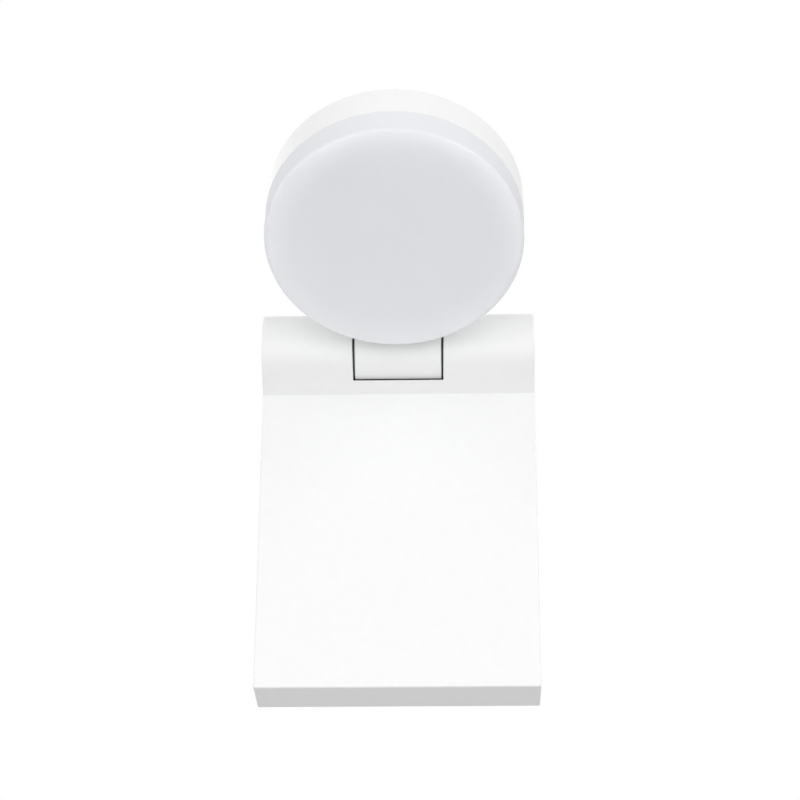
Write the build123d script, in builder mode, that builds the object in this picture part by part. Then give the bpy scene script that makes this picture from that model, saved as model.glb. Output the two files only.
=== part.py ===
"""Outdoor wall lamp: a flat cast base with a hinge barrel along its top and a tilting round head."""
import os
from math import asin, atan2, cos, hypot, radians, sin, sqrt, tan

from build123d import *

os.makedirs("parts", exist_ok=True)

# Directions: X to the right, Y into the wall (the wall is the plane Y = 0), Z up.
# The origin is the middle of the two wall fixings, on the wall. All sizes are in millimetres.

# Base casting
plate_width = 110.0
plate_front = 22.0
plate_bottom = -62.0
crease_height = 63.5
rim_stand_off = 0.5
wall_thickness = 2.5
edge_radius = 0.7

# Hinge barrel along the top of the base, and the slot that its knuckle turns in
axis_out = 20.0
axis_height = 83.0
barrel_radius = 16.0
barrel_wall = 2.8
pocket_radius = 16.85
pocket_half_low = 18.1
pocket_half_high = 18.75
pocket_back = 6.4
mouth_radius = 0.3
cheek_outside = 21.6
hub_outside = 22.6
thrust_pad_face = 18.0
pad_radius = 12.8
ring_radius = 11.7
strip_start = 67.5
strip_end = 100.0

# Knuckle and the round head that it carries
knuckle_radius = 15.75
knuckle_half = 17.45
head_radius = 50.5
head_gap = 0.75
head_tilt = 65.0
head_back = -13.5
head_joint = 4.0
head_front = 17.05
shell_wall = 2.8
board_seat = -9.5
board_front = -7.5

# Hollow pivot tube with its bushes, and the leads
tube_radius = 5.0
tube_bore = 3.6
tube_half = 31.5
running_gap = 0.05
lead_radius = 1.8
core_radius = 1.1
lead_joint = 22.0

# Seats inside the base, as Y
driver_seat = -17.5
earth_seat = -16.5
cavity_front = -plate_front + wall_thickness
bracket_thickness = 1.5
side_screw_y = -9.0

# Places on the front plate's back, as X and Z
driver_posts = [(-38, 32), (38, 32)]
terminal_post = (0, -48)
earth_post = (38, -22)
fixing_slots = [(-30, 0), (30, 0)]
pole_places = [-10, 0, 10]

barrel_centre = (-axis_out, axis_height)
top_height = axis_height + barrel_radius
head_reach = barrel_radius + head_gap + head_radius
head_centre = (0, head_reach)
hinge_axis = Axis((0, -axis_out, axis_height), (1, 0, 0))

# The head is drawn about its own axes: x along the hinge, y from the hinge to the middle of
# the head, z the way that the lamp faces. At rest it faces 65 degrees below the horizontal.
facing = Vector(0, -cos(radians(head_tilt)), -sin(radians(head_tilt)))
head_plane = Plane(origin=(0, -axis_out, axis_height), x_dir=(1, 0, 0), z_dir=facing)


def tangent_point(corner, radius):
    """Where the line from a corner below the barrel touches a circle about the hinge axis."""
    across = barrel_centre[0] - corner[0]
    up = barrel_centre[1] - corner[1]
    reach = hypot(across, up)
    run = sqrt(reach * reach - radius * radius)
    angle = atan2(up, across) + asin(radius / reach)
    return (corner[0] + run * cos(angle), corner[1] + run * sin(angle))


def head_section(x):
    """A plane across the hinge: its x runs from the hinge to the head, its y the way it faces."""
    return Plane(origin=(x, -axis_out, axis_height), x_dir=head_plane.y_dir, z_dir=(1, 0, 0))


def head_point(x, y, z):
    """A point given on the head's own axes, as a point of the lamp."""
    return head_plane.from_local_coords(Vector(x, y, z))


def head_turning_plane():
    """A plane through the head's middle: its x is the radius, its y the way the head faces."""
    return Plane(origin=head_point(0, head_reach, 0), x_dir=(1, 0, 0), z_dir=-head_plane.y_dir)


def hinge_turning_plane(side):
    """A plane through the hinge axis: its x is the radius, its y runs outwards on one side."""
    return Plane(origin=hinge_axis.position, x_dir=(0, 0, 1), z_dir=(0, side, 0))


def front_plane(y):
    """A plane parallel to the wall, seen from the front, at the given Y."""
    return Plane(origin=(0, y, 0), x_dir=(1, 0, 0), z_dir=(0, -1, 0))


def end_plane(x, side, y=-axis_out, z=axis_height):
    """A plane across X that faces outwards on the left (-1) or the right (1)."""
    return Plane(origin=(side * x, y, z), x_dir=(0, 0, 1), z_dir=(side, 0, 0))


def bend_radii(name, points, largest):
    """The radius of each bend of a lead, from the shorter run beside it, up to what fits."""
    corners = [Vector(point) for point in points]
    radii = []
    for before, here, after in zip(corners, corners[1:], corners[2:]):
        turn = radians((here - before).get_angle(after - here))
        shorter = min((here - before).length, (after - here).length)
        radii.append(min(largest, 0.45 * shorter / tan(turn / 2)))
    print(name, "bend radii", [round(radius, 1) for radius in radii])
    return radii


def hinge_polar(reach, below):
    """A point about the hinge axis, as Y and Z: its distance, and degrees below the horizontal."""
    return (-axis_out - reach * cos(radians(below)), axis_height - reach * sin(radians(below)))


def slot_half_width(height):
    """Half the slot's width at a height, between its drafted sides."""
    draft = (pocket_half_high - pocket_half_low) / (top_height - crease_height)
    return pocket_half_low + draft * (height - crease_height)


def on_slot_mouth(edge):
    """True for an edge where the slot opens through the barrel, but not for its lower lip."""
    middle = edge.position_at(0.5)
    reach = hypot(middle.Y + axis_out, middle.Z - axis_height)
    on_barrel = abs(reach - barrel_radius) < 0.3
    on_top = middle.Z > top_height - 0.01 and middle.Y < -pocket_back + 0.01
    return abs(middle.X) < cheek_outside and (on_barrel or on_top)


head_axis = Axis(head_point(0, head_reach, 0), facing)

# The slot for the knuckle: a turned pocket round the hinge axis, opened upwards for the head's
# neck. Its sides are drafted, so that it is narrower at its lower lip than at the top.
slope_start = (-plate_front, crease_height)
slope_end = tangent_point(slope_start, barrel_radius)

with BuildPart() as slot_core:
    with BuildSketch(Plane.YZ.offset(-25)):
        with Locations(barrel_centre):
            Circle(pocket_radius)
        with Locations((-pocket_back - 30, axis_height + 15)):
            Rectangle(60, 30)
    extrude(amount=50)
    with BuildSketch(front_plane(10)):
        with BuildLine():
            Polyline(
                (-pocket_half_low, slope_start[1]),
                (pocket_half_low, slope_start[1]),
                (pocket_half_high, top_height),
                (pocket_half_high + 0.3, top_height + 15),
                (-pocket_half_high - 0.3, top_height + 15),
                (-pocket_half_high, top_height),
                close=True,
            )
        make_face()
    extrude(amount=90, mode=Mode.INTERSECT)

# Base housing: a die-cast shell, open at the back. One side profile holds the front plate, the
# sloped underside and the barrel; the barrel's ends and the slot's cheeks close two chambers.
inner_slope_start = (cavity_front, crease_height + 1.5)
inner_radius = barrel_radius - barrel_wall
inner_slope_end = tangent_point(inner_slope_start, inner_radius)
cavity_bottom = plate_bottom + wall_thickness
chamber_end = plate_width / 2 - wall_thickness
rim_middle = (0, (plate_bottom + top_height) / 2)
rim_height = top_height - plate_bottom

with BuildPart() as base_housing:
    with BuildSketch(Plane.YZ.offset(-plate_width / 2)):
        with BuildLine():
            Polyline(
                (-axis_out, top_height),
                (-rim_stand_off, top_height),
                (-rim_stand_off, plate_bottom),
                (-plate_front, plate_bottom),
                slope_start,
                slope_end,
            )
            ThreePointArc(
                slope_end,
                (-axis_out - barrel_radius, axis_height),
                (-axis_out, top_height),
            )
        make_face()
    extrude(amount=plate_width)
    end_edges = base_housing.faces().filter_by(Axis.X).edges()
    front_edges = end_edges.filter_by(lambda edge: edge.center().Y < -rim_stand_off - 0.1)
    low_edges = base_housing.edges().filter_by(Axis.X).group_by(Axis.Z)[0]
    fillet(front_edges + low_edges.sort_by(Axis.Y)[:1], edge_radius)

    # The left and right chambers run from the floor of the shell up into the barrel.
    for start in (-chamber_end, cheek_outside):
        with BuildSketch(Plane.YZ.offset(start)):
            with BuildLine():
                Polyline(
                    (-axis_out, axis_height + inner_radius),
                    (-rim_stand_off, axis_height + inner_radius),
                    (-rim_stand_off, cavity_bottom),
                    (cavity_front, cavity_bottom),
                    inner_slope_start,
                    inner_slope_end,
                )
                ThreePointArc(
                    inner_slope_end,
                    (-axis_out - inner_radius, axis_height),
                    (-axis_out, axis_height + inner_radius),
                )
            make_face()
        extrude(amount=chamber_end - cheek_outside, mode=Mode.SUBTRACT)

    # Between them the shell stops below the slot, and its wall follows the slot's turned floor.
    with BuildSketch(Plane.YZ.offset(-cheek_outside)):
        with BuildLine():
            Polyline(
                (-rim_stand_off, cavity_bottom),
                (cavity_front, cavity_bottom),
                (cavity_front, axis_height),
                (-rim_stand_off, axis_height),
                close=True,
            )
        make_face()
        with Locations(barrel_centre):
            Circle(pocket_radius + barrel_wall, mode=Mode.SUBTRACT)
    extrude(amount=2 * cheek_outside, mode=Mode.SUBTRACT)
    add(slot_core.part, mode=Mode.SUBTRACT)
    fillet(base_housing.edges().filter_by(on_slot_mouth), mouth_radius)

    # Thrust pads inside the slot, hubs in the chambers, and the bush holes through both.
    for side in (-1, 1):
        with BuildSketch(end_plane(thrust_pad_face, side)):
            Circle(pad_radius)
        extrude(amount=cheek_outside - thrust_pad_face)
        with BuildSketch(end_plane(cheek_outside, side)):
            Circle(9)
        extrude(amount=hub_outside - cheek_outside)
        with BuildSketch(end_plane(thrust_pad_face, side)):
            Circle(6.5)
        extrude(amount=hub_outside - thrust_pad_face, mode=Mode.SUBTRACT)

    # Posts on the back of the front plate, each with a blind hole for a tapping screw.
    with BuildSketch(front_plane(driver_seat)):
        with Locations(*driver_posts, terminal_post):
            Circle(3.6)
    extrude(amount=driver_seat - cavity_front)
    with BuildSketch(front_plane(earth_seat)):
        with Locations(earth_post):
            Circle(4.4)
    extrude(amount=earth_seat - cavity_front)
    with BuildSketch(front_plane(driver_seat)):
        with Locations(*driver_posts, terminal_post):
            Circle(1.25)
    extrude(amount=3.4, mode=Mode.SUBTRACT)
    with BuildSketch(front_plane(earth_seat)):
        with Locations(earth_post):
            Circle(1.65)
    extrude(amount=4.2, mode=Mode.SUBTRACT)

    # Two stiffening ribs, and a thicker pad in each side wall for its counterbored screw hole.
    with BuildSketch(front_plane(-16)):
        with Locations((-46.5, 0.5), (46.5, 0.5)):
            Rectangle(1.4, 120)
    extrude(amount=-16 - cavity_front)
    with BuildSketch(front_plane(-4)):
        with Locations((-51.45, 0), (51.45, 0)):
            Rectangle(2.1, 14)
    extrude(amount=-4 - cavity_front)
    for side in (-1, 1):
        with BuildSketch(end_plane(plate_width / 2, side, side_screw_y, 0)):
            Circle(2.2)
        extrude(amount=-6, mode=Mode.SUBTRACT)
        with BuildSketch(end_plane(plate_width / 2, side, side_screw_y, 0)):
            Circle(4)
        extrude(amount=-2.4, mode=Mode.SUBTRACT)

    # Rebate for the gasket in the rear rim.
    with BuildSketch(front_plane(-rim_stand_off)):
        with Locations(rim_middle):
            RectangleRounded(plate_width - 2.6, rim_height - 2.6, 1.5)
            RectangleRounded(plate_width - 8.6, rim_height - 8.6, 1, mode=Mode.SUBTRACT)
    extrude(amount=1.5, mode=Mode.SUBTRACT)
base_housing.part.label = "base_housing"
export_step(base_housing.part, "parts/base_housing.step")

# Wall gasket: a sponge rubber ring that sits in the rebate and stands proud of the rim.
with BuildPart() as wall_gasket:
    with BuildSketch(front_plane(0)):
        with Locations(rim_middle):
            RectangleRounded(plate_width - 2.6, rim_height - 2.6, 1.5)
            RectangleRounded(plate_width - 8.6, rim_height - 8.6, 1, mode=Mode.SUBTRACT)
    extrude(amount=2)
wall_gasket.part.label = "wall_gasket"
export_step(wall_gasket.part, "parts/wall_gasket.step")

# Wall bracket: pressed steel sheet with two slots for wall screws, a hole for the grommet and
# two bent side ears. Each ear has an extruded and tapped collar for the side screw.
with BuildPart() as wall_bracket:
    with BuildSketch(front_plane(0)):
        RectangleRounded(92, 76, 5)
        with Locations(*fixing_slots):
            SlotOverall(12, 5, mode=Mode.SUBTRACT)
        Circle(9, mode=Mode.SUBTRACT)
    extrude(amount=bracket_thickness)
    for side in (-1, 1):
        with BuildSketch(Plane.XY.offset(-10)) as ear_section:
            with BuildLine():
                Polyline(
                    (side * 44, 0),
                    (side * 50.2, 0),
                    (side * 50.2, -14),
                    (side * 48.7, -14),
                    (side * 48.7, -bracket_thickness),
                    (side * 44, -bracket_thickness),
                    close=True,
                )
            make_face()
            outer_bend = ear_section.vertices().filter_by_position(Axis.Y, -0.1, 0.1)
            fillet(outer_bend.filter_by(lambda corner: abs(corner.X) > 50), 2)
            inner_bend = ear_section.vertices().filter_by(
                lambda corner: abs(abs(corner.X) - 48.7) < 0.1 and corner.Y > -2
            )
            fillet(inner_bend, 0.6)
        extrude(amount=20)
        with BuildSketch(end_plane(47.4, side, side_screw_y, 0)):
            Circle(3)
        extrude(amount=1.5)
        with BuildSketch(end_plane(47.4, side, side_screw_y, 0)):
            Circle(2)
        extrude(amount=3, mode=Mode.SUBTRACT)
wall_bracket.part.label = "wall_bracket"
export_step(wall_bracket.part, "parts/wall_bracket.step")

# Side screws: pan heads sunk in the side walls, shanks through the pads into the ears.
with BuildPart() as side_screws:
    for side in (-1, 1):
        with BuildSketch(end_plane(52.6, side, side_screw_y, 0)):
            Circle(3.6)
        extrude(amount=2.1)
        with BuildSketch(end_plane(45.5, side, side_screw_y, 0)):
            Circle(2)
        extrude(amount=52.6 - 45.5)
side_screws.part.label = "side_screws"
export_step(side_screws.part, "parts/side_screws.step")

# Cable grommet: a rubber cone in the bracket's middle hole, flush with the wall.
with BuildPart() as cable_grommet:
    with BuildSketch(Plane(origin=(0, 0, 0), x_dir=(1, 0, 0), z_dir=(0, 0, -1))):
        with BuildLine():
            Polyline(
                (4.25, 0.2),
                (9, 0.2),
                (9, bracket_thickness),
                (11.5, bracket_thickness),
                (11.5, 3.2),
                (8, 3.2),
                (6, 9),
                (4.25, 9),
                close=True,
            )
        make_face()
    revolve(axis=Axis.Y)
cable_grommet.part.label = "cable_grommet"
export_step(cable_grommet.part, "parts/cable_grommet.step")

# Terminal block: three poles side by side. Each has a square channel for its clamp, a wire
# entry above and below, and two screw wells that open towards the wall.
clamp_centre_y = -12.0
with BuildPart() as terminal_block:
    with BuildSketch(front_plane(-9.4)):
        with Locations((0, -32)):
            Rectangle(32, 20)
        with Locations((0, -46)):
            SlotOverall(14, 8, rotation=90)
    extrude(amount=-9.4 - driver_seat)
    with BuildSketch(front_plane(-5.5)):
        with Locations(*[(x, z) for x in pole_places for z in (-27, -37)]):
            Circle(3.6)
        with Locations(*[(x, -32) for x in pole_places]):
            Rectangle(6, 10)
    extrude(amount=4)
    with BuildSketch(front_plane(-5.5)):
        with Locations((0, -49)):
            Rectangle(12, 13.9)
    extrude(amount=9, mode=Mode.SUBTRACT)
    with BuildSketch(Plane.XY.offset(-39.5)):
        with Locations(*[(x, clamp_centre_y) for x in pole_places]):
            Rectangle(5.2, 5.2)
    extrude(amount=15, mode=Mode.SUBTRACT)
    with BuildSketch(Plane.XY.offset(-45)):
        with Locations(*[(x, clamp_centre_y) for x in pole_places]):
            Circle(2.1)
    extrude(amount=25, mode=Mode.SUBTRACT)
    with BuildSketch(front_plane(-5.5)):
        with Locations(*[(x, z) for x in pole_places for z in (-27, -37)]):
            Circle(2)
    extrude(amount=5, mode=Mode.SUBTRACT)
    with BuildSketch(front_plane(-14)):
        with Locations(terminal_post):
            Circle(1.7)
    extrude(amount=4, mode=Mode.SUBTRACT)
terminal_block.part.label = "terminal_block"
export_step(terminal_block.part, "parts/terminal_block.step")

# Terminal clamps: square brass tubes with a wire bore and two tapped holes.
with BuildPart() as terminal_clamps:
    with BuildSketch(Plane.XY.offset(-39.4)):
        with Locations(*[(x, clamp_centre_y) for x in pole_places]):
            Rectangle(5, 5)
            Circle(1.7, mode=Mode.SUBTRACT)
    extrude(amount=14.8)
    with BuildSketch(front_plane(-9)):
        with Locations(*[(x, z) for x in pole_places for z in (-27, -37)]):
            Circle(1.25)
    extrude(amount=2, mode=Mode.SUBTRACT)
terminal_clamps.part.label = "terminal_clamps"
export_step(terminal_clamps.part, "parts/terminal_clamps.step")

# Terminal screws: six slotted cylinder heads in the wells.
with BuildPart() as terminal_screws:
    with BuildSketch(front_plane(-7)):
        with Locations(*[(x, z) for x in pole_places for z in (-27, -37)]):
            Circle(1.8)
    extrude(amount=1.8)
    with BuildSketch(front_plane(-8.8)):
        with Locations(*[(x, z) for x in pole_places for z in (-27, -37)]):
            Circle(1.25)
    extrude(amount=1.8)
    with BuildSketch(front_plane(-7)):
        with Locations(*[(x, z) for x in pole_places for z in (-27, -37)]):
            Rectangle(4, 0.6, rotation=30)
    extrude(amount=0.8, mode=Mode.SUBTRACT)
terminal_screws.part.label = "terminal_screws"
export_step(terminal_screws.part, "parts/terminal_screws.step")

# Terminal fixing: one tapping screw through the block's tongue.
with BuildPart() as terminal_fixing:
    with BuildSketch(front_plane(-12.5)):
        with Locations(terminal_post):
            Circle(2.8)
    extrude(amount=2)
    with BuildSketch(front_plane(-14.5)):
        with Locations(terminal_post):
            Circle(1.25)
    extrude(amount=6)
terminal_fixing.part.label = "terminal_fixing"
export_step(terminal_fixing.part, "parts/terminal_fixing.step")

# Earth lug: a ring on the earth post, with a tail and a crimp barrel that points up.
with BuildPart() as earth_lug:
    with BuildSketch(front_plane(earth_seat + 0.8)):
        with Locations(earth_post):
            Circle(4.2)
        with Locations((earth_post[0], earth_post[1] + 5.75)):
            Rectangle(3, 7.5)
        with Locations(earth_post):
            Circle(2.1, mode=Mode.SUBTRACT)
    extrude(amount=0.8)
    with BuildSketch(Plane.XY.offset(-14)):
        with Locations((earth_post[0], -14.9)):
            Circle(1.8)
            Circle(core_radius + 0.05, mode=Mode.SUBTRACT)
    extrude(amount=4.5)
earth_lug.part.label = "earth_lug"
export_step(earth_lug.part, "parts/earth_lug.step")

# Earth screw: clamps the lug to its post.
with BuildPart() as earth_screw:
    with BuildSketch(front_plane(-13.3)):
        with Locations(earth_post):
            Circle(3.4)
    extrude(amount=-13.3 - earth_seat - 0.8)
    with BuildSketch(front_plane(earth_seat + 0.8)):
        with Locations(earth_post):
            Circle(1.65)
    extrude(amount=4.6)
earth_screw.part.label = "earth_screw"
export_step(earth_screw.part, "parts/earth_screw.step")

# Driver case: a sealed plastic box with a screw ear at each end and round lead entries.
with BuildPart() as driver_case:
    with BuildSketch(front_plane(-5)):
        with Locations((0, 32)):
            RectangleRounded(68, 32, 2.5)
    extrude(amount=-5 - driver_seat)
    with BuildSketch(front_plane(driver_seat + 2.5)):
        with Locations((0, 32)):
            SlotOverall(86, 10)
    extrude(amount=2.5)
    with BuildSketch(front_plane(driver_seat + 2.5)):
        with Locations(*driver_posts):
            Circle(1.7)
    extrude(amount=2.5, mode=Mode.SUBTRACT)
    with BuildSketch(Plane.XY.offset(16)):
        with Locations((-6, clamp_centre_y), (4, clamp_centre_y)):
            Circle(core_radius)
    extrude(amount=3, mode=Mode.SUBTRACT)
    with BuildSketch(Plane.XY.offset(45)):
        with Locations((-26, clamp_centre_y)):
            Circle(lead_radius)
    extrude(amount=3, mode=Mode.SUBTRACT)
driver_case.part.label = "driver_case"
export_step(driver_case.part, "parts/driver_case.step")

# Driver lid: a flat cover with a slightly smaller outline.
with BuildPart() as driver_lid:
    with BuildSketch(front_plane(-3.6)):
        with Locations((0, 32)):
            RectangleRounded(66.6, 30.6, 2)
    extrude(amount=1.4)
    chamfer(driver_lid.faces().sort_by(Axis.Y)[-1].edges(), 0.4)
driver_lid.part.label = "driver_lid"
export_step(driver_lid.part, "parts/driver_lid.step")

# Driver screws: one through each ear.
with BuildPart() as driver_screws:
    with BuildSketch(front_plane(-13)):
        with Locations(*driver_posts):
            Circle(2.8)
    extrude(amount=2)
    with BuildSketch(front_plane(-15)):
        with Locations(*driver_posts):
            Circle(1.25)
    extrude(amount=5.7)
driver_screws.part.label = "driver_screws"
export_step(driver_screws.part, "parts/driver_screws.step")

# Mains leads from the terminal block to the driver, and the earth lead to its lug.
live_points = [(-10, -12, -26), (-10, -12, -6), (-6, -12, 5), (-6, -12, 19)]
neutral_points = [(0, -12, -26), (0, -12, -6), (4, -12, 5), (4, -12, 19)]
earth_points = [
    (10, -12, -26),
    (10, -12, -10),
    (20, -13, 2),
    (34, -14.9, 4),
    (38, -14.9, -5),
    (38, -14.9, -12.2),
]

with BuildPart() as lead_live:
    with BuildLine() as live_route:
        FilletPolyline(*live_points, radius=bend_radii("lead_live", live_points, 20))
    with BuildSketch(live_route.line ^ 0):
        Circle(core_radius)
    sweep()
lead_live.part.label = "lead_live"
export_step(lead_live.part, "parts/lead_live.step")

with BuildPart() as lead_neutral:
    with BuildLine() as neutral_route:
        FilletPolyline(*neutral_points, radius=bend_radii("lead_neutral", neutral_points, 20))
    with BuildSketch(neutral_route.line ^ 0):
        Circle(core_radius)
    sweep()
lead_neutral.part.label = "lead_neutral"
export_step(lead_neutral.part, "parts/lead_neutral.step")

with BuildPart() as lead_earth:
    with BuildLine() as earth_route:
        FilletPolyline(*earth_points, radius=bend_radii("lead_earth", earth_points, 20))
    with BuildSketch(earth_route.line ^ 0):
        Circle(core_radius)
    sweep()
lead_earth.part.label = "lead_earth"
export_step(lead_earth.part, "parts/lead_earth.step")

# Driver lead: from the driver up the left chamber and into the pivot tube along its axis.
driver_lead_points = [
    (-26, clamp_centre_y, 45),
    (-26, clamp_centre_y, 56),
    (-44, -15, 69),
    (-44, -axis_out, axis_height),
    (-lead_joint, -axis_out, axis_height),
]
with BuildPart() as driver_lead:
    with BuildLine() as driver_lead_route:
        FilletPolyline(
            *driver_lead_points, radius=bend_radii("driver_lead", driver_lead_points, 20)
        )
    with BuildSketch(driver_lead_route.line ^ 0):
        Circle(lead_radius)
    sweep()
driver_lead.part.label = "driver_lead"
export_step(driver_lead.part, "parts/driver_lead.step")

# Head lead: takes over on the hinge axis, turns out of the tube's window, passes through the
# neck and ends in the connector on the board.
passage_end = (22.5, -5.0)
connector_side = 27.75
head_lead_points = [
    head_point(-lead_joint, 0, 0),
    head_point(0, 0, 0),
    head_point(0, *passage_end),
    head_point(0, connector_side + 2.2, passage_end[1]),
]
with BuildPart() as head_lead:
    with BuildLine() as head_lead_route:
        FilletPolyline(*head_lead_points, radius=bend_radii("head_lead", head_lead_points, 5.5))
    with BuildSketch(head_lead_route.line ^ 0):
        Circle(lead_radius)
    sweep()
head_lead.part.label = "head_lead"
export_step(head_lead.part, "parts/head_lead.step")

# Pivot bushes: flanged plastic bearings in the cheeks; the flanges take the knuckle's thrust.
with BuildPart() as pivot_bushes:
    for side in (-1, 1):
        with BuildSketch(hinge_turning_plane(side)):
            with BuildLine():
                Polyline(
                    (tube_radius + running_gap, knuckle_half + running_gap),
                    (8.5, knuckle_half + running_gap),
                    (8.5, thrust_pad_face),
                    (6.5, thrust_pad_face),
                    (6.5, hub_outside),
                    (tube_radius + running_gap, hub_outside),
                    close=True,
                )
            make_face()
        revolve(axis=hinge_axis)
pivot_bushes.part.label = "pivot_bushes"
export_step(pivot_bushes.part, "parts/pivot_bushes.step")

# Pivot tube: a hollow steel tube that turns with the knuckle, with a milled window for the lead.
with BuildPart() as pivot_tube:
    with BuildSketch(head_section(-tube_half)):
        Circle(tube_radius)
        Circle(tube_bore, mode=Mode.SUBTRACT)
    extrude(amount=2 * tube_half)
    chamfer(pivot_tube.edges().filter_by(GeomType.CIRCLE), 0.4)
    window_plane = Plane(origin=head_point(-0.4, 0, 0), x_dir=(1, 0, 0), z_dir=head_plane.y_dir)
    with BuildSketch(window_plane):
        SlotOverall(11, 6.6)
    extrude(amount=tube_radius + 1, mode=Mode.SUBTRACT)
pivot_tube.part.label = "pivot_tube"
export_step(pivot_tube.part, "parts/pivot_tube.step")

# Disc springs: one dished washer on each side keeps the hinge stiff enough to hold its tilt.
spring_inside = hub_outside + running_gap
nut_inside = spring_inside + 1.3
with BuildPart() as disc_springs:
    for side in (-1, 1):
        with BuildSketch(hinge_turning_plane(side)):
            with BuildLine():
                Polyline(
                    (5.1, nut_inside - 0.6),
                    (8.2, spring_inside),
                    (8.2, spring_inside + 0.6),
                    (5.1, nut_inside),
                    close=True,
                )
            make_face()
        revolve(axis=hinge_axis)
disc_springs.part.label = "disc_springs"
export_step(disc_springs.part, "parts/disc_springs.step")

# Pivot nuts: thin hexagon nuts at both ends of the tube, their corners turned to a chamfer.
nut_outside = nut_inside + 5
with BuildPart() as pivot_nuts:
    for side in (-1, 1):
        with BuildSketch(end_plane(nut_inside, side)):
            RegularPolygon(radius=7, side_count=6, major_radius=False)
            Circle(tube_radius, mode=Mode.SUBTRACT)
        extrude(amount=5)
    with BuildSketch(hinge_turning_plane(1)):
        with BuildLine():
            Polyline(
                (tube_radius - 1, -nut_outside),
                (7, -nut_outside),
                (9, -nut_outside + 1.2),
                (9, nut_outside - 1.2),
                (7, nut_outside),
                (tube_radius - 1, nut_outside),
                close=True,
            )
        make_face()
    revolve(axis=hinge_axis, mode=Mode.INTERSECT)
pivot_nuts.part.label = "pivot_nuts"
export_step(pivot_nuts.part, "parts/pivot_nuts.step")

# Wear rings: black plastic rings that sit on the thrust pads and round them, up to the slot's
# drafted sides. They fill the slot beside the knuckle nearly up to the outside of the barrel.
wear_ring_low = slot_half_width(slope_start[1]) - running_gap
wear_ring_high = slot_half_width(top_height) - running_gap
with BuildPart() as wear_rings:
    for side in (-1, 1):
        with BuildSketch(end_plane(knuckle_half + running_gap, side)):
            Circle(knuckle_radius - 0.25)
            Circle(ring_radius + 0.1, mode=Mode.SUBTRACT)
        extrude(amount=1.2)
        with BuildSketch(end_plane(thrust_pad_face, side)):
            Circle(pad_radius + running_gap)
        extrude(amount=1, mode=Mode.SUBTRACT)
    with BuildSketch(front_plane(0)):
        with BuildLine():
            Polyline(
                (-wear_ring_low, slope_start[1]),
                (wear_ring_low, slope_start[1]),
                (wear_ring_high, top_height),
                (-wear_ring_high, top_height),
                close=True,
            )
        make_face()
    extrude(amount=2 * axis_out, mode=Mode.INTERSECT)
wear_rings.part.label = "wear_rings"
export_step(wear_rings.part, "parts/wear_rings.step")

# Lip strip: a black rubber strip behind the slot's lower lip. It closes the gap under the
# knuckle against insects and spray.
strip_half = slot_half_width(axis_height - pocket_radius) - running_gap
with BuildPart() as lip_strip:
    with BuildSketch(Plane.YZ.offset(-strip_half)):
        with Locations(barrel_centre):
            Circle(pocket_radius)
            Circle(knuckle_radius + 0.1, mode=Mode.SUBTRACT)
        with BuildLine():
            Polyline(
                barrel_centre,
                hinge_polar(20, strip_start),
                hinge_polar(25, (strip_start + strip_end) / 2),
                hinge_polar(20, strip_end),
                close=True,
            )
        make_face(mode=Mode.INTERSECT)
    extrude(amount=2 * strip_half)
lip_strip.part.label = "lip_strip"
export_step(lip_strip.part, "parts/lip_strip.step")

# Knuckle rings: rubber lip rings that close the gap beside the knuckle against rain.
ring_face = thrust_pad_face - running_gap
with BuildPart() as knuckle_rings:
    for side in (-1, 1):
        with BuildSketch(hinge_turning_plane(side)):
            with BuildLine():
                Polyline(
                    (ring_radius - 1.6, ring_face - 1.5),
                    (ring_radius, ring_face - 1.5),
                    (ring_radius, ring_face),
                    (ring_radius - 0.6, ring_face),
                    (ring_radius - 1.6, ring_face - 0.6),
                    close=True,
                )
            make_face()
        revolve(axis=hinge_axis)
knuckle_rings.part.label = "knuckle_rings"
export_step(knuckle_rings.part, "parts/knuckle_rings.step")

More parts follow.
